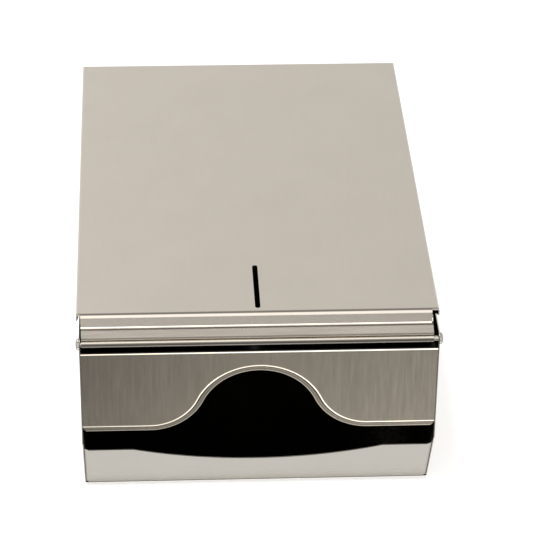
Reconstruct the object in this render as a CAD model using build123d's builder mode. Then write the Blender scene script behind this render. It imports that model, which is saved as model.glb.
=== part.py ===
from build123d import *
import math
import os

# Paper towel dispenser of folded stainless sheet, hung on a wall. Sizes are in millimetres.
# The part stands as it hangs: +Z up, the front faces -Y, the wall is the plane Y = 0, and the
# origin is the middle of the four wall screws.

# Sheet and overall size
sheet = 0.8
case_width = 270.0
case_height = 390.0
case_depth = 180.0
weld_gap = 0.05

# Wall screws: a rectangle of four round holes in the back, each pair as far from its end of the case
screw_spacing_x = 200.0
screw_hole = 6.5
screws_above_foot = 60.0
screws_below_top = 20.0
screw_spacing_z = case_height - screws_above_foot - screws_below_top
screw_centre_height = screws_above_foot + screw_spacing_z / 2

# Case: side walls, folded back corners and the slanted lower back edge
back_bend = 2.0
slant_run = 62.0
slant_rise = 33.0
wall_corner = 3.5
top_flange_depth = 12.0
top_bend = 1.6

# Cover: a shallow pan whose flanges meet the case edge to edge
seam = 0.5
cover_flange = 22.0
cover_bend = 1.6
cover_side_shift = -1.5
band_gap_left = 0.9
band_gap_right = 6.0
band_bend = 3.5
band_flat = 11.8
band_tip = (13.4, 2.0)
band_tip_bend = 2.6
flange_foot = 5.0
flange_slant_height = 30.0
sight_slot_width = 4.0
sight_slot_length = 59.0
sight_slot_height = 6.0

# Hinge: a rod across the case, a rolled leaf on it and a cap on each end
rod = 4.0
rod_clearance = 0.05
rod_depth = 28.0
rod_height = 3.0
leaf_start = 4.6
leaf_step_start = 9.0
leaf_step_end = 11.0
leaf_step = 1.6
leaf_gap_left = 0.9
leaf_gap_right = 3.6
leaf_corner = (2.0, 18.0)
leaf_rise_angle = 45.0
leaf_bend = 1.6
curl_gap = 60.0
cap_diameter = 9.0
cap_height = 2.4
cap_dome = 2.0
rod_past_wall = 1.6

# Outlet plate: a pressed pan that steps inwards to a narrow foot along the arch
plate_recess = 0.8
plate_top = 35.0
plate_bottom = 108.3
plate_corner = 5.0
plate_flange = 7.0
plate_top_bend = 2.2
rim_width = 5.3
rim_step = 1.6
rim_slope = 50.0
rim_bend = 3.2
rim_foot_bend = 0.9
rim_edge_bend = 1.0
level_tolerance = 0.01
arch_radius = 46.0
arch_centre_depth = 100.3
arch_shoulder = 45.0

# Bottom lip: a slanted pan with a shallow dip in its edge
lip_start = 11.9
lip_dip_width = 192.0
lip_dip_depth = 19.3
lip_flange = 9.0
lip_bend = 1.0
lip_corner = 4.0
lip_tab = 15.0

# Lock: a small cam lock in the top flange and the bracket that its cam catches
lock_depth = 11.5
lock_body = 12.0
lock_flats = 10.4
lock_length = 16.0
lock_flange = 18.0
lock_flange_height = 2.0
lock_flange_edge = 0.8
plug = 8.6
plug_clearance = 0.05
keyway_width = 1.8
keyway_height = 6.4
keyway_depth = 14.0
plug_recess = 0.3
wafer_count = 4
wafer_pitch = 2.4
wafer_thickness = 1.0
wafer_width = 5.0
wafer_window = 5.0
wafer_clearance = 0.05
wafer_first = 3.0
washer_outer = 17.0
washer_height = 1.0
nut_across_flats = 15.0
nut_height = 3.0
thread_clearance = 0.05
tail_square = 5.0
cam_thickness = 1.6
cam_width = 9.0
cam_reach = 26.0
cam_gap = 0.1
tail_clearance = 0.05
cam_screw_thread = 3.5
cam_screw_length = 6.0
cam_screw_head = 7.0
cam_screw_head_height = 2.2
strike_width = 64.0
strike_drop = 1.2
strike_joggle = 3.6
strike_lip_depth = 4.0
strike_lip_height = 18.0
strike_weld_length = 16.0
strike_notch = 22.0
strike_bend = 1.4

# Three views of the case that share the corner where the front face meets the bottom edge.
# Across them a sketch is drawn in depth behind the front face and height above the bottom.
corner = (0, -case_depth, -screw_centre_height)
side_view = Plane(origin=corner, x_dir=(0, 1, 0), z_dir=(1, 0, 0))
front_view = Plane(origin=corner, x_dir=(1, 0, 0), z_dir=(0, -1, 0))
plan_view = Plane(origin=corner, x_dir=(1, 0, 0), z_dir=(0, 0, 1))

wall_front = cover_flange + seam
inner_half_width = case_width / 2 - sheet
slant_start = case_depth - slant_run
slant_length = math.hypot(slant_run, slant_rise)


def strip(view, points, radii, width, thickness=sheet):
    """A folded strip of sheet: its middle line drawn in a view, thickened and extruded both ways."""
    with BuildPart() as folded:
        with BuildSketch(view):
            with BuildLine():
                FilletPolyline(*points, radius=radii)
            trace(line_width=thickness)
        extrude(amount=width / 2, both=True)
    return folded.part


# Back and side walls, one sheet bent twice
with BuildPart() as case_wrap:
    with BuildSketch(plan_view):
        with BuildLine():
            FilletPolyline(
                (-case_width / 2 + sheet / 2, wall_front),
                (-case_width / 2 + sheet / 2, case_depth - sheet / 2),
                (case_width / 2 - sheet / 2, case_depth - sheet / 2),
                (case_width / 2 - sheet / 2, wall_front),
                radius=back_bend - sheet / 2,
            )
        trace(line_width=sheet)
    extrude(amount=case_height)
    # The lower back corner is slanted, and the front lower corners are rounded off
    with BuildSketch(side_view):
        with BuildLine():
            Polyline((slant_start, 0), (case_depth, slant_rise), (case_depth, 0), close=True)
        make_face()
    extrude(amount=case_width, both=True, mode=Mode.SUBTRACT)
    front_corners = case_wrap.edges().filter_by(Axis.X).group_by(Axis.Z)[0].sort_by(Axis.Y)[:2]
    fillet(front_corners, radius=wall_corner)
    with BuildSketch(side_view):
        with Locations((rod_depth, rod_height)):
            Circle(rod / 2 + rod_clearance)
    extrude(amount=case_width, both=True, mode=Mode.SUBTRACT)
    with BuildSketch(Plane.XZ):
        with GridLocations(screw_spacing_x, screw_spacing_z, 2, 2):
            Circle(screw_hole / 2)
    extrude(amount=back_bend, both=True, mode=Mode.SUBTRACT)
case_wrap.part.label = "case_wrap"

# Top of the case, a pan turned down between the walls
with BuildPart() as case_top:
    top_half_width = inner_half_width - weld_gap
    with BuildSketch(plan_view.offset(case_height)):
        with BuildLine():
            Polyline((-top_half_width, wall_front), (top_half_width, wall_front),
                     (top_half_width, case_depth - sheet - weld_gap),
                     (-top_half_width, case_depth - sheet - weld_gap), close=True)
        make_face()
    extrude(amount=-top_flange_depth)
    back_corners = case_top.edges().filter_by(Axis.Z).sort_by(Axis.Y)[-2:]
    fillet(back_corners, radius=back_bend)
    folded_edges = case_top.faces().sort_by(Axis.Z)[-1].edges().sort_by(Axis.Y)[1:]
    fillet(folded_edges, radius=top_bend)
    open_sides = [case_top.faces().sort_by(Axis.Z)[0], case_top.faces().sort_by(Axis.Y)[0]]
    offset(amount=-sheet, openings=open_sides)
case_top.part.label = "case_top"

# Bracket under the top that reaches forward; its notched lip holds the cam of the lock
strike_high = case_height - sheet * 1.5
strike_low = strike_high - strike_drop
with BuildPart() as strike_bracket:
    add(strip(
        side_view,
        [
            (wall_front + strike_joggle + strike_weld_length, strike_high),
            (wall_front + strike_joggle, strike_high),
            (wall_front, strike_low),
            (strike_lip_depth + sheet / 2, strike_low),
            (strike_lip_depth + sheet / 2, strike_low - strike_lip_height),
        ],
        strike_bend,
        strike_width,
    ))
    with BuildSketch(plan_view.offset(case_height)):
        with Locations((0, lock_depth)):
            Circle(strike_notch / 2)
        with Locations((0, lock_depth / 2)):
            Rectangle(strike_notch, lock_depth)
    extrude(amount=-case_height, mode=Mode.SUBTRACT)
strike_bracket.part.label = "strike_bracket"

def leaning(face):
    """Whether a face is neither level nor upright."""
    return level_tolerance < abs(face.normal_at().Z) < 1 - level_tolerance


def upright(face):
    """Whether a face stands upright."""
    return abs(face.normal_at().Z) < level_tolerance


# Outlet plate: a pressed pan open inwards, with the arch for the fingers in its lower edge. It is
# pressed from a wider blank, and then its ends are trimmed to fit between the walls.
with BuildPart() as outlet_plate:
    plate_half_width = inner_half_width - weld_gap
    plate_middle = (plate_top + plate_bottom) / 2
    plate_height = plate_bottom - plate_top
    with BuildSketch(plan_view.offset(plate_recess)) as blank:
        with Locations((0, plate_middle)):
            Rectangle(2 * case_width, plate_height)
        with Locations((0, arch_centre_depth)):
            Circle(arch_radius, mode=Mode.SUBTRACT)
        arch_ends = blank.vertices().group_by(Axis.Y)[-1].sort_by(lambda v: abs(v.X))[:2]
        fillet(arch_ends, radius=arch_shoulder)
    extrude(amount=plate_flange)
    with BuildSketch(plan_view.offset(plate_recess)) as rim_area:
        with Locations((0, plate_bottom - rim_width + plate_height / 2)):
            Rectangle(4 * case_width, plate_height)
        with Locations((0, arch_centre_depth)):
            Circle(arch_radius + rim_width)
        rim_ends = rim_area.vertices().sort_by(lambda v: abs(v.X))[:2]
        fillet(rim_ends, radius=arch_shoulder - rim_width)
    extrude(amount=rim_step, taper=rim_slope, mode=Mode.SUBTRACT)
    # The bends along the rim: above the step, at its foot and at the opening, and the one at the top
    for level, kind, bend in (
        (0, leaning, rim_bend),
        (1, leaning, rim_foot_bend),
        (1, upright, rim_edge_bend),
    ):
        flat = outlet_plate.faces().filter_by(Axis.Z).sort_by(Axis.Z)[level]
        beside = outlet_plate.faces().filter_by(kind).edges() - flat.edges().filter_by(Axis.Y)
        fillet([edge for edge in flat.edges().sort_by(Axis.X) if edge in beside], radius=bend)
    top_edge = outlet_plate.faces().sort_by(Axis.Z)[0].edges().sort_by(Axis.Y)[0]
    fillet(top_edge, radius=plate_top_bend)
    offset(amount=-sheet, openings=outlet_plate.faces().sort_by(Axis.Z)[-1])
    with BuildSketch(plan_view) as trimmed:
        with Locations((0, plate_middle)):
            Rectangle(2 * plate_half_width, plate_height)
        lower_corners = trimmed.vertices().group_by(Axis.Y)[-1]
        fillet(lower_corners, radius=plate_corner)
    extrude(amount=plate_recess + plate_flange, mode=Mode.INTERSECT)
outlet_plate.part.label = "outlet_plate"

# Bottom lip: a pan that lies on the slant and turns up against the back
slant_view = Plane(
    origin=(0, slant_start - case_depth, -screw_centre_height),
    x_dir=(1, 0, 0),
    z_dir=(0, -slant_rise, slant_run),
)
along_slant = Axis(slant_view.origin, slant_view.y_dir)
into_case = Axis(slant_view.origin, slant_view.z_dir)
back_inside = case_depth - sheet - weld_gap
dip_radius = (lip_dip_width**2 / 4 + lip_dip_depth**2) / (2 * lip_dip_depth)
with BuildPart() as bottom_lip:
    lip_half_width = inner_half_width - weld_gap
    with BuildSketch(slant_view):
        with BuildLine():
            Polyline((-lip_half_width, lip_start - lip_corner), (lip_half_width, lip_start - lip_corner),
                     (lip_half_width, slant_length), (-lip_half_width, slant_length), close=True)
        make_face()
    extrude(amount=lip_flange)
    lip_face = bottom_lip.faces().sort_by(into_case)[0]
    fillet(lip_face.edges().filter_by(along_slant), radius=lip_bend)
    ends = bottom_lip.faces().sort_by(along_slant)
    offset(amount=-sheet, openings=[bottom_lip.faces().sort_by(into_case)[-1], ends[0], ends[-1]])
    # The dip, and the edge beside it, which rises again at the walls
    with BuildSketch(slant_view):
        with Locations((0, lip_start + lip_dip_depth - dip_radius)):
            Circle(dip_radius)
        with BuildLine():
            Polyline((-lip_half_width, lip_start - lip_corner), (lip_corner - lip_half_width, lip_start),
                     (lip_half_width - lip_corner, lip_start), (lip_half_width, lip_start - lip_corner),
                     close=True)
        make_face()
    extrude(amount=sheet, mode=Mode.SUBTRACT)
    # The tab that is welded to the back, and the pan cut off where the back begins
    tab_foot = slant_rise - sheet
    with BuildSketch(side_view):
        with Locations((back_inside - sheet / 2, tab_foot + lip_tab / 2)):
            Rectangle(sheet, lip_tab)
    extrude(amount=lip_half_width - lip_bend, both=True)
    with BuildSketch(side_view):
        with Locations((back_inside + lip_flange, slant_rise)):
            Rectangle(2 * lip_flange, 4 * lip_flange)
    extrude(amount=case_width, both=True, mode=Mode.SUBTRACT)
    # Relief at the two ends, where the case is rounded
    with BuildSketch(plan_view):
        with Locations((-lip_half_width, back_inside), (lip_half_width, back_inside)):
            Rectangle(2 * back_bend, 2 * back_bend)
    extrude(amount=case_height, mode=Mode.SUBTRACT)
bottom_lip.part.label = "bottom_lip"

# Hinge rod and the domed caps pressed on its ends
rod_half_length = case_width / 2 + rod_past_wall
with BuildPart() as hinge_rod:
    with BuildSketch(side_view):
        with Locations((rod_depth, rod_height)):
            Circle(rod / 2)
    extrude(amount=rod_half_length, both=True)
hinge_rod.part.label = "hinge_rod"

with BuildPart() as rod_caps:
    with BuildSketch(side_view.offset(case_width / 2 + weld_gap)):
        with Locations((rod_depth, rod_height)):
            Circle(cap_diameter / 2)
    extrude(amount=cap_height)
    fillet(rod_caps.faces().sort_by(Axis.X)[-1].edges(), radius=cap_dome)
    with BuildSketch(side_view):
        with Locations((rod_depth, rod_height)):
            Circle(rod / 2)
    extrude(amount=rod_half_length, mode=Mode.SUBTRACT)
    mirror(about=Plane.YZ)
rod_caps.part.label = "rod_caps"

# Front cover: a pan open at the back and the bottom, with a folded band for the hinge leaf
band_left = band_gap_left - inner_half_width
band_width = 2 * inner_half_width - band_gap_left - band_gap_right
cover_view = front_view.shift_origin((cover_side_shift, -case_depth, -screw_centre_height))
cover_side_view = side_view.offset(cover_side_shift)
lock_view = Plane(origin=(cover_side_shift, lock_depth - case_depth, case_height - screw_centre_height))
with BuildPart() as front_cover:
    with BuildSketch(cover_view):
        with BuildLine():
            Polyline((-case_width / 2, 0), (case_width / 2, 0), (case_width / 2, case_height),
                     (-case_width / 2, case_height), close=True)
        make_face()
    extrude(amount=-cover_flange)
    panel_edges = front_cover.faces().sort_by(Axis.Y)[0].edges().sort_by(Axis.Z)[1:]
    fillet(panel_edges, radius=cover_bend)
    open_sides = [front_cover.faces().sort_by(Axis.Y)[-1], front_cover.faces().sort_by(Axis.Z)[0]]
    offset(amount=-sheet, openings=open_sides)
    # Slanted lower ends of the side flanges, which keep clear of the rod caps
    with BuildSketch(cover_side_view):
        with BuildLine():
            Polyline((flange_foot, 0), (cover_flange, flange_slant_height), (cover_flange, 0), close=True)
        make_face()
    extrude(amount=case_width, both=True, mode=Mode.SUBTRACT)
    # The panel gives way to the folded band between the side flanges
    with BuildSketch(front_view):
        with Locations((band_left + band_width / 2, band_bend / 2)):
            Rectangle(band_width, band_bend)
    extrude(amount=-cover_flange, mode=Mode.SUBTRACT)
    with BuildSketch(side_view.offset(band_left)):
        with BuildLine():
            FilletPolyline((sheet / 2, 2 * band_bend), (sheet / 2, sheet / 2), (band_flat, sheet / 2),
                           band_tip, radius=(band_bend - sheet / 2, band_tip_bend))
        trace(line_width=sheet)
    extrude(amount=band_width)
    with BuildSketch(cover_view):
        with Locations((0, sight_slot_height + sight_slot_length / 2)):
            SlotOverall(sight_slot_length, sight_slot_width, rotation=90)
    extrude(amount=-band_bend, mode=Mode.SUBTRACT)
    with BuildSketch(lock_view):
        Circle(lock_body / 2 + thread_clearance)
        Rectangle(lock_flats + 2 * thread_clearance, 2 * lock_body, mode=Mode.INTERSECT)
    extrude(amount=-2 * sheet, mode=Mode.SUBTRACT)
front_cover.part.label = "front_cover"

# Hinge leaf: welded inside the band, stepped and kinked inwards and curled round the rod
with BuildPart() as hinge_leaf:
    weld_height = sheet * 1.5
    leaf_height = weld_height + leaf_step
    curl = rod / 2 + rod_clearance + sheet / 2
    rise = math.radians(leaf_rise_angle)
    curl_start = (rod_depth - curl * math.sin(rise), rod_height + curl * math.cos(rise))
    kink = (curl_start[0] - (curl_start[1] - leaf_height) / math.tan(rise), leaf_height)
    leaf_left = leaf_gap_left - inner_half_width
    leaf_right = inner_half_width - leaf_gap_right
    with BuildSketch(side_view.offset(leaf_left)):
        with BuildLine():
            FilletPolyline((leaf_start, weld_height), (leaf_step_start, weld_height),
                           (leaf_step_end, leaf_height), kink, curl_start, radius=leaf_bend)
            CenterArc((rod_depth, rod_height), curl, 90 + leaf_rise_angle, curl_gap - 360)
        trace(line_width=sheet)
    extrude(amount=leaf_right - leaf_left)
    with BuildSketch(plan_view):
        with BuildLine():
            Polyline((leaf_right - leaf_corner[0], leaf_start), (leaf_right, leaf_start),
                     (leaf_right, leaf_start + leaf_corner[1]), close=True)
        make_face()
    extrude(amount=case_height, mode=Mode.SUBTRACT)
hinge_leaf.part.label = "hinge_leaf"

# Lock housing with two flats, its washer and nut under the flange of the cover
with BuildPart() as lock_housing:
    with BuildSketch(lock_view):
        Circle(lock_flange / 2)
    extrude(amount=lock_flange_height)
    chamfer(lock_housing.faces().sort_by(Axis.Z)[-1].edges(), length=lock_flange_edge)
    with BuildSketch(lock_view):
        Circle(lock_body / 2)
        Rectangle(lock_flats, 2 * lock_body, mode=Mode.INTERSECT)
    extrude(amount=-lock_length)
    with BuildSketch(lock_view.offset(lock_flange_height)):
        Circle(plug / 2 + plug_clearance)
    extrude(amount=-lock_flange_height - lock_length, mode=Mode.SUBTRACT)
lock_housing.part.label = "lock_housing"

with BuildPart() as lock_washer:
    with BuildSketch(lock_view.offset(-sheet)):
        Circle(washer_outer / 2)
        Circle(lock_body / 2 + thread_clearance, mode=Mode.SUBTRACT)
    extrude(amount=-washer_height)
lock_washer.part.label = "lock_washer"

with BuildPart() as lock_nut:
    with BuildSketch(lock_view.offset(-sheet - washer_height)):
        RegularPolygon(nut_across_flats / 2, 6, major_radius=False)
        Circle(lock_body / 2 + thread_clearance, mode=Mode.SUBTRACT)
    extrude(amount=-nut_height)
lock_nut.part.label = "lock_nut"

# Plug: keyway, slots for the wafers, a square tail for the cam and a bore for its screw
tail_length = cam_gap + cam_thickness - tail_clearance
wafer_heights = [lock_flange_height - wafer_first - n * wafer_pitch for n in range(wafer_count)]
with BuildPart() as lock_plug:
    with BuildSketch(lock_view.offset(lock_flange_height - plug_recess)):
        Circle(plug / 2)
    extrude(amount=plug_recess - lock_flange_height - lock_length)
    with BuildSketch(lock_view.offset(lock_flange_height)):
        Rectangle(keyway_width, keyway_height)
    extrude(amount=-keyway_depth, mode=Mode.SUBTRACT)
    for height in wafer_heights:
        with BuildSketch(lock_view.offset(height + wafer_clearance)):
            Rectangle(wafer_width + 2 * wafer_clearance, 2 * plug)
        extrude(amount=-wafer_thickness - 2 * wafer_clearance, mode=Mode.SUBTRACT)
    with BuildSketch(lock_view.offset(-lock_length)):
        Rectangle(tail_square, tail_square)
    extrude(amount=-tail_length)
    with BuildSketch(lock_view.offset(-lock_length - tail_length)):
        Circle(cam_screw_thread / 2)
    extrude(amount=cam_screw_length, mode=Mode.SUBTRACT)
lock_plug.part.label = "lock_plug"

# Wafers, drawn in as the key draws them
with BuildPart() as lock_wafers:
    for height in wafer_heights:
        with BuildSketch(lock_view.offset(height)):
            Circle(plug / 2 - wafer_clearance)
            Rectangle(wafer_width, 2 * plug, mode=Mode.INTERSECT)
            Rectangle(keyway_width, wafer_window, mode=Mode.SUBTRACT)
        extrude(amount=-wafer_thickness)
lock_wafers.part.label = "lock_wafers"

# Cam, which points to the back while the lock is open, and its screw
cam_top = -lock_length - cam_gap
with BuildPart() as lock_cam:
    with BuildSketch(lock_view.offset(cam_top)):
        with Locations((0, cam_reach / 2 - cam_width / 4)):
            SlotCenterToCenter(cam_reach - cam_width / 2, cam_width, rotation=90)
        Rectangle(tail_square + 2 * tail_clearance, tail_square + 2 * tail_clearance, mode=Mode.SUBTRACT)
    extrude(amount=-cam_thickness)
lock_cam.part.label = "lock_cam"

with BuildPart() as cam_screw:
    with BuildSketch(lock_view.offset(cam_top - cam_thickness)):
        Circle(cam_screw_head / 2)
    extrude(amount=-cam_screw_head_height)
    fillet(cam_screw.faces().sort_by(Axis.Z)[0].edges(), radius=cam_screw_head_height / 2)
    with BuildSketch(lock_view.offset(cam_top - cam_thickness)):
        Circle(cam_screw_thread / 2)
    extrude(amount=cam_screw_length)
cam_screw.part.label = "cam_screw"

os.makedirs("parts", exist_ok=True)
for piece in (
    case_wrap,
    case_top,
    strike_bracket,
    outlet_plate,
    bottom_lip,
    hinge_rod,
    rod_caps,
    front_cover,
    hinge_leaf,
    lock_housing,
    lock_washer,
    lock_nut,
    lock_plug,
    lock_wafers,
    lock_cam,
    cam_screw,
):
    export_step(piece.part, f"parts/{piece.part.label}.step")
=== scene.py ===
import bpy
import math
import numpy as np
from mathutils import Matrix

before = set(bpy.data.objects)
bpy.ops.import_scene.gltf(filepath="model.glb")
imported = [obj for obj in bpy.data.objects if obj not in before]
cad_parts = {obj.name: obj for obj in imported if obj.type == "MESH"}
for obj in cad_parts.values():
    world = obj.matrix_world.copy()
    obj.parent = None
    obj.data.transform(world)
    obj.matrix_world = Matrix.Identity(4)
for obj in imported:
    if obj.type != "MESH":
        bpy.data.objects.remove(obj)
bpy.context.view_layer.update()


# ---------------------------------------------------------------- studio
# The dispenser lies on its back on a white table, and the camera looks down on its outlet end.
# The scene stands as the dispenser hangs, so the table is upright behind it and the camera is low.
camera_place = (-0.079510, -1.233549, -1.800309)
camera_turn = (147.396754, 2.665433, -0.601265)
sensor_width = 36.0
lens_length = 172.97
farthest_view = 20.0
camera = bpy.data.objects.new("camera", bpy.data.cameras.new("camera"))
bpy.context.scene.collection.objects.link(camera)
camera.location = camera_place
camera.rotation_euler = [math.radians(angle) for angle in camera_turn]
camera.data.sensor_width = sensor_width
camera.data.lens = lens_length
camera.data.clip_end = farthest_view
bpy.context.scene.camera = camera
bpy.context.scene.view_settings.view_transform = "Standard"


def add(tree, kind, settings=None, links=None):
    """Adds a node. settings are its properties and the values of its sockets, and links are the
    outputs that feed its sockets. A socket is told by its name, or by its number where the node
    has the name more than once."""
    made = tree.nodes.new(kind)
    for key, value in (settings or {}).items():
        if isinstance(key, int) or key in made.inputs:
            made.inputs[key].default_value = value
        else:
            setattr(made, key, value)
    for key, output in (links or {}).items():
        tree.links.new(output, made.inputs[key])
    return made


# The room, told by the angle in the upright plane across the dispenser, from +Y (into the table) up
# through +Z. The steel shows little else than what it mirrors: the cover mirrors the light wall at
# 122, the underside the dim one at -58, and the bends sweep past the bright strips, which draw the
# thin white lines. To the sides the room is plain: it turns so as the sideways part of a direction
# goes from side_starts to side_full.
room_tones = (
    (-180, 0.88), (-152, 0.92), (-142, 1.7), (-78, 1.7), (-70, 0.48), (-52, 0.46), (-47, 3.0),
    (-20, 3.0), (-12, 1.0), (12, 1.0), (45, 1.2), (80, 1.2), (112, 0.92), (134, 0.88), (155, 0.88),
)
side_tone = 1.0
side_starts, side_full = 0.3, 0.6
brightest = max(tone for _, tone in room_tones)
world = bpy.data.worlds.new("studio")
bpy.context.scene.world = world
world.use_nodes = True
room = world.node_tree
room.nodes.clear()
towards = add(room, "ShaderNodeTexCoord")
split = add(room, "ShaderNodeSeparateXYZ", links={"Vector": towards.outputs["Generated"]})
turn = add(room, "ShaderNodeMath", {"operation": "ARCTAN2"},
           {0: split.outputs["Z"], 1: split.outputs["Y"]})
share = add(room, "ShaderNodeMapRange", {"From Min": -math.pi, "From Max": math.pi},
            {"Value": turn.outputs["Value"]})
tones = add(room, "ShaderNodeValToRGB", links={"Fac": share.outputs["Result"]})
for step, (angle, tone) in enumerate(room_tones):
    stop = tones.color_ramp.elements[step] if step < 2 else tones.color_ramp.elements.new(1.0)
    stop.position = (angle + 180) / 360
    stop.color = (tone / brightest, tone / brightest, tone / brightest, 1.0)
aside = add(room, "ShaderNodeMath", {"operation": "ABSOLUTE"}, {0: split.outputs["X"]})
plain = add(room, "ShaderNodeMapRange", {"From Min": side_starts, "From Max": side_full},
            {"Value": aside.outputs["Value"]})
side_share = side_tone / brightest
blend = add(room, "ShaderNodeMix",
            {"data_type": "RGBA", 7: (side_share, side_share, side_share, 1.0)},
            {0: plain.outputs["Result"], 6: tones.outputs["Color"]})
shine = add(room, "ShaderNodeBackground", {"Strength": brightest}, {"Color": blend.outputs[2]})
add(room, "ShaderNodeOutputWorld", links={"Surface": shine.outputs["Background"]})

# A broad soft box high over the table, to the left, which gives the faint shadow on the right
box_width = 1.0
box_power = 12.0
box_place = (-0.9, -1.6, 0.7)
soft_box = bpy.data.objects.new("soft_box", bpy.data.lights.new("soft_box", "AREA"))
bpy.context.scene.collection.objects.link(soft_box)
soft_box.data.shape = "SQUARE"
soft_box.data.size = box_width
soft_box.data.energy = box_power
soft_box.location = box_place
soft_box.rotation_euler = (-soft_box.location).to_track_quat("-Z", "Y").to_euler()


# ---------------------------------------------------------------- front cover
# Stainless sheet of 0.8 mm, folded to a pan, with its grain ground lengthwise by a fine belt.
# The satin grind mirrors the room softly, so the panel is nearly one tone.
def linear(tone):
    """A colour written as sRGB hex, as the linear red, green, blue and alpha that a shader takes:
    a straight line for the darkest values, and a power of 2.4 above them."""
    parts = np.array([int(tone[i:i + 2], 16) for i in (0, 2, 4)]) / 255.0
    return (*np.where(parts <= 0.04045, parts / 12.92, ((parts + 0.055) / 1.055) ** 2.4), 1.0)


def brushed_steel(name, tone, grain, roughness, clouds=(22.0, 22.0, 22.0), spread=0.03, painted_light=(),
                  inside=()):
    """Ground steel. The grain is noise stretched along one axis, which shifts the tone and the
    roughness a little and raises fine ridges. A second, broad noise gives the faint clouds that
    rolling and handling leave. grain and clouds are (x, y, z) frequencies per metre. The streaks
    are 1 to 2 mm across, which is coarser than the real 0.1 mm, because finer ones can't show.
    spread is how far streaks and clouds move the tone, as a share of it.
    painted_light holds tables of a factor on the tone by the position along an axis, in metres:
    painted shade and painted highlights.
    inside has the limits of the space that the piece encloses, as (axis, low, high). The faces in
    that space are darkened with painted shade."""
    noise_low, noise_high = 0.3, 0.7
    roughness_play = 0.02
    ridge_height, ridge_strength = 0.0001, 0.02
    painted_inner_shade = 0.22
    material = bpy.data.materials.new(name)
    material.use_nodes = True
    tree = material.node_tree
    tree.nodes.clear()
    place = add(tree, "ShaderNodeTexCoord").outputs["Object"]
    spot = add(tree, "ShaderNodeSeparateXYZ", links={"Vector": place})
    laid = add(tree, "ShaderNodeMapping", {"Scale": grain}, {"Vector": place})
    streaks = add(tree, "ShaderNodeTexNoise", {"Scale": 1.0, "Detail": 3.0, "Roughness": 0.6},
                  {"Vector": laid.outputs["Vector"]})
    thinned = add(tree, "ShaderNodeMapping", {"Scale": clouds}, {"Vector": place})
    patches = add(tree, "ShaderNodeTexNoise", {"Scale": 1.0, "Detail": 3.0},
                  {"Vector": thinned.outputs["Vector"]})
    both = add(tree, "ShaderNodeMath", {"operation": "ADD"},
               {0: streaks.outputs["Fac"], 1: patches.outputs["Fac"]})
    factor = add(tree, "ShaderNodeMapRange",
                 {"From Min": 2 * noise_low, "From Max": 2 * noise_high,
                  "To Min": 1 - spread, "To Max": 1 + spread},
                 {"Value": both.outputs["Value"]}).outputs["Result"]
    # Painted shade and painted highlights: factors on the tone along the axes
    for axis, table in painted_light:
        first, last = table[0][0], table[-1][0]
        most = max(value for _, value in table)
        along = add(tree, "ShaderNodeMapRange", {"From Min": first, "From Max": last},
                    {"Value": spot.outputs[axis]})
        ramp = add(tree, "ShaderNodeValToRGB", links={"Fac": along.outputs["Result"]})
        for step, (position, value) in enumerate(table):
            stop = ramp.color_ramp.elements[step] if step < 2 else ramp.color_ramp.elements.new(1.0)
            stop.position = (position - first) / (last - first)
            stop.color = (value / most, value / most, value / most, 1.0)
        shade = add(tree, "ShaderNodeMath", {"operation": "MULTIPLY", 1: most},
                    {0: ramp.outputs["Color"]})
        factor = add(tree, "ShaderNodeMath", {"operation": "MULTIPLY"},
                     {0: factor, 1: shade.outputs["Value"]}).outputs["Value"]
    # Painted shade on the faces inside the enclosed space
    if inside:
        within, *others = [
            add(tree, "ShaderNodeMath", {"operation": test, 1: limit},
                {0: spot.outputs[axis]}).outputs["Value"]
            for axis, low, high in inside
            for test, limit in (("GREATER_THAN", low), ("LESS_THAN", high))]
        for other in others:
            within = add(tree, "ShaderNodeMath", {"operation": "MULTIPLY"},
                         {0: within, 1: other}).outputs["Value"]
        darker = add(tree, "ShaderNodeMapRange", {"To Min": 1.0, "To Max": painted_inner_shade},
                     {"Value": within})
        factor = add(tree, "ShaderNodeMath", {"operation": "MULTIPLY"},
                     {0: factor, 1: darker.outputs["Result"]}).outputs["Value"]
    colour = add(tree, "ShaderNodeVectorMath", {"operation": "SCALE", 0: linear(tone)[:3]},
                 {"Scale": factor})
    dull = add(tree, "ShaderNodeMapRange",
               {"From Min": noise_low, "From Max": noise_high,
                "To Min": roughness - roughness_play, "To Max": roughness + roughness_play},
               {"Value": streaks.outputs["Fac"]})
    ridges = add(tree, "ShaderNodeBump", {"Strength": ridge_strength, "Distance": ridge_height},
                 {"Height": streaks.outputs["Fac"]})
    steel = add(tree, "ShaderNodeBsdfPrincipled", {"Metallic": 1.0},
                {"Base Color": colour.outputs["Vector"], "Roughness": dull.outputs["Result"],
                 "Normal": ridges.outputs["Normal"]})
    add(tree, "ShaderNodeOutputMaterial", links={"Surface": steel.outputs["BSDF"]})
    return material


def clad(node, material):
    """Gives a CAD node one material in place of its own."""
    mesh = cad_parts[node].data
    mesh.materials.clear()
    mesh.materials.append(material)


lengthwise = (900.0, 900.0, 30.0)
# Painted shade: the dark line of the fold at the lower edge, and a tone that falls a little from
# left to right
painted_fold_line = ((-0.2142, 1.0), (-0.2139, 0.5), (-0.2130, 0.35), (-0.2122, 1.0))
cover_painted_falloff = ((-0.1365, 1.0), (0.0, 0.96), (0.1335, 0.93))
# The space between the sheets that face each other, from front to back and from foot to top,
# whose faces get painted shade
enclosed = (("Y", -0.1793, -0.0007), ("Z", -0.2137, 0.1743))
clad("front_cover", brushed_steel(
    "belt_ground_stainless", "CEC6BA", lengthwise, roughness=0.2,
    painted_light=(("Z", painted_fold_line), ("X", cover_painted_falloff)), inside=(("X", -0.1358, 0.1328), *enclosed)))
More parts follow.
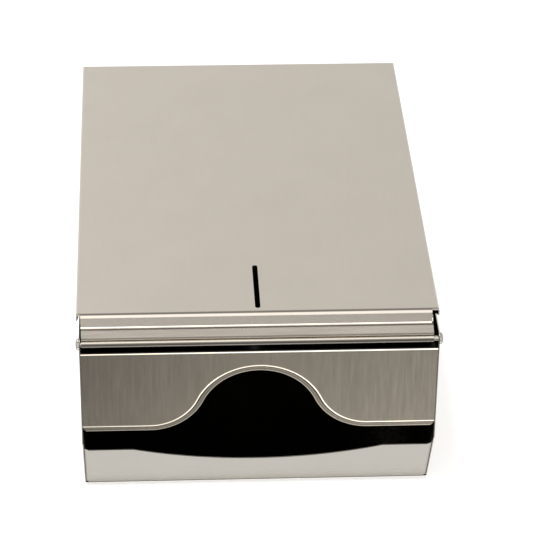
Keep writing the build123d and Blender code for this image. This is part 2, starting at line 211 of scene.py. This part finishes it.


# ---------------------------------------------------------------- hinge leaf
# A strip of the same sheet, spot welded inside the band of the cover and curled round the rod.
# Its grain runs along the strip. Painted shade darkens the two creases and the side of the curl
# that faces the outlet plate, and a painted highlight brightens the curl between them.
crosswise = (30.0, 900.0, 900.0)
leaf_painted_light = (
    (-0.1680, 1.0), (-0.1669, 0.25), (-0.1648, 0.3), (-0.1642, 1.0), (-0.1581, 1.0),
    (-0.1569, 0.4), (-0.1557, 0.3), (-0.1553, 1.5), (-0.1542, 1.5), (-0.1537, 0.3),
    (-0.1530, 0.1), (-0.1522, 0.1), (-0.1512, 0.18), (-0.1503, 0.4),
)
clad("hinge_leaf", brushed_steel(
    "belt_ground_leaf", "D6CDC0", crosswise, roughness=0.2, painted_light=(("Y", leaf_painted_light),)))


# ---------------------------------------------------------------- rod and caps
# Bright drawn steel rod of 4 mm, with a domed push-on cap on each end. Drawn steel is smooth, so
# it mirrors the room in a sharp line. The rod's side towards the plate gets painted shade, for the
# dark gap it faces.
rod_painted_shade = ((-0.1540, 1.0), (-0.1533, 1.0), (-0.1528, 0.3), (-0.1500, 0.25))
clad("hinge_rod", brushed_steel(
    "drawn_steel", "C8C4BC", crosswise, roughness=0.16, painted_light=(("Y", rod_painted_shade),)))
clad("rod_caps", brushed_steel("pressed_cap_steel", "AAA69E", crosswise, roughness=0.18))


# ---------------------------------------------------------------- case
# Back and sides are one sheet, folded twice, and the top pan and the strike bracket are welded in.
# The grain of the sides runs lengthwise, as on the cover. The sheared lower edges and the inside
# faces get painted shade.
painted_edge_shade = ((-0.2150, 0.3), (-0.2146, 0.3), (-0.2143, 1.0))
for node in ("case_wrap", "case_top", "strike_bracket"):
    clad(node, brushed_steel(
        "belt_ground_" + node, "CDC5B9", lengthwise, roughness=0.24,
        painted_light=(("Z", painted_edge_shade),), inside=(("X", -0.1343, 0.1343), *enclosed)))


# ---------------------------------------------------------------- outlet plate
# A pressed pan with a stepped rim round the arch. Its field is duller and darker in tone than the
# cover. The bright convex bends are painted highlights, and the step gets painted shade for the
# dark outlet it faces.
front_to_back = (600.0, 40.0, 600.0)
# Painted light: the field is darker to the left and lighter towards the right
plate_painted_gradient = ((-0.134, 0.64), (0.0, 0.95), (0.134, 1.10))
# The bend beside the leaf: painted shade in the gap, then a painted highlight
gap_painted_light = ((-0.1451, 0.15), (-0.1447, 0.2), (-0.1442, 1.9), (-0.1433, 1.9), (-0.1426, 1.0))
# From the field inwards: a painted highlight on the bend, painted shade on the step, and painted
# light on the face of the rim
rim_painted_light = (
    (-0.21419, 1.0), (-0.21414, 1.6), (-0.21405, 2.8), (-0.21392, 2.8), (-0.21382, 0.14),
    (-0.21272, 0.14), (-0.21262, 0.5), (-0.21259, 1.1), (-0.21252, 1.1), (-0.21240, 0.4),
)
clad("outlet_plate", brushed_steel(
    "pressed_outlet_stainless", "8E877B", front_to_back, roughness=0.22,
    clouds=(60.0, 30.0, 60.0), spread=0.05,
    painted_light=(("X", plate_painted_gradient), ("Y", gap_painted_light), ("Z", rim_painted_light))))


# ---------------------------------------------------------------- bottom lip
# A folded strip on the slant of the lower back edge, with a shallow dip for the fingers. It is
# ground from front to back, to a soft, even tone, with painted shade at its ends and along its
# foot.
lip_painted_end_shade = (
    (-0.1341, 0.4), (-0.1333, 0.5), (-0.1329, 1.0), (0.1329, 1.0), (0.1333, 0.5), (0.1341, 0.4),
)
lip_painted_foot_shade = ((-0.0030, 1.0), (-0.0018, 1.0), (-0.0014, 0.5), (-0.0008, 0.4))
clad("bottom_lip", brushed_steel(
    "belt_ground_lip", "BAB5AC", front_to_back, roughness=0.24,
    painted_light=(("X", lip_painted_end_shade), ("Y", lip_painted_foot_shade))))


# ---------------------------------------------------------------- lock
# A small die-cast cam lock with a bright plated face, brass wafers and zinc plated steel fittings.
# A nut holds it in the cover's top, and a screw holds the cam on the plug.
for node in ("lock_housing", "lock_plug"):
    clad(node, brushed_steel("plated_" + node, "E0DEDA", crosswise, roughness=0.12))
for node in ("lock_washer", "lock_nut", "lock_cam", "cam_screw"):
    clad(node, brushed_steel("zinc_" + node, "BABAB4", crosswise, roughness=0.34))
clad("lock_wafers", brushed_steel("stamped_brass", "CAAC5C", crosswise, roughness=0.3))


# ---------------------------------------------------------------- table
# White card beside and below the dispenser's back, where its faint shadow falls. It glows a little,
# as a product table that is lit from below does, and fades out into the white room. It leaves the
# back itself free, which stays in sight from behind.
card_y = 0.0003
left, right, foot, top = -0.135, 0.135, -0.182, 0.175
reach_right, fade_right, reach_below = 0.06, 0.02, 0.008
glow = 0.18
corners = [
    (left, card_y, foot), (right, card_y, foot), (right, card_y, top),
    (left, card_y, foot - reach_below), (right + reach_right, card_y, foot - reach_below),
    (right + reach_right, card_y, top),
]
table = bpy.data.objects.new("table", bpy.data.meshes.new("table"))
table.data.from_pydata(corners, [], [(0, 1, 4, 3), (1, 2, 5, 4)])
bpy.context.scene.collection.objects.link(table)
card = bpy.data.materials.new("white_card")
card.use_nodes = True
tree = card.node_tree
tree.nodes.clear()
place = add(tree, "ShaderNodeTexCoord")
spot = add(tree, "ShaderNodeSeparateXYZ", links={"Vector": place.outputs["Object"]})
across = add(tree, "ShaderNodeMapRange",
             {"interpolation_type": "SMOOTHSTEP",
              "From Min": right + fade_right, "From Max": right + reach_right},
             {"Value": spot.outputs["X"]})
down = add(tree, "ShaderNodeMapRange",
           {"interpolation_type": "SMOOTHSTEP", "From Min": foot, "From Max": foot - reach_below},
           {"Value": spot.outputs["Z"]})
clear = add(tree, "ShaderNodeMath", {"operation": "MAXIMUM"},
            {0: across.outputs["Result"], 1: down.outputs["Result"]})
paper = add(tree, "ShaderNodeBsdfDiffuse", {"Color": linear("FAFAFA")})
lit = add(tree, "ShaderNodeEmission", {"Strength": glow})
both = add(tree, "ShaderNodeAddShader",
           links={0: paper.outputs["BSDF"], 1: lit.outputs["Emission"]})
gone = add(tree, "ShaderNodeBsdfTransparent")
faded = add(tree, "ShaderNodeMixShader",
            links={0: clear.outputs["Value"], 1: both.outputs["Shader"], 2: gone.outputs["BSDF"]})
add(tree, "ShaderNodeOutputMaterial", links={"Surface": faded.outputs["Shader"]})
table.data.materials.append(card)
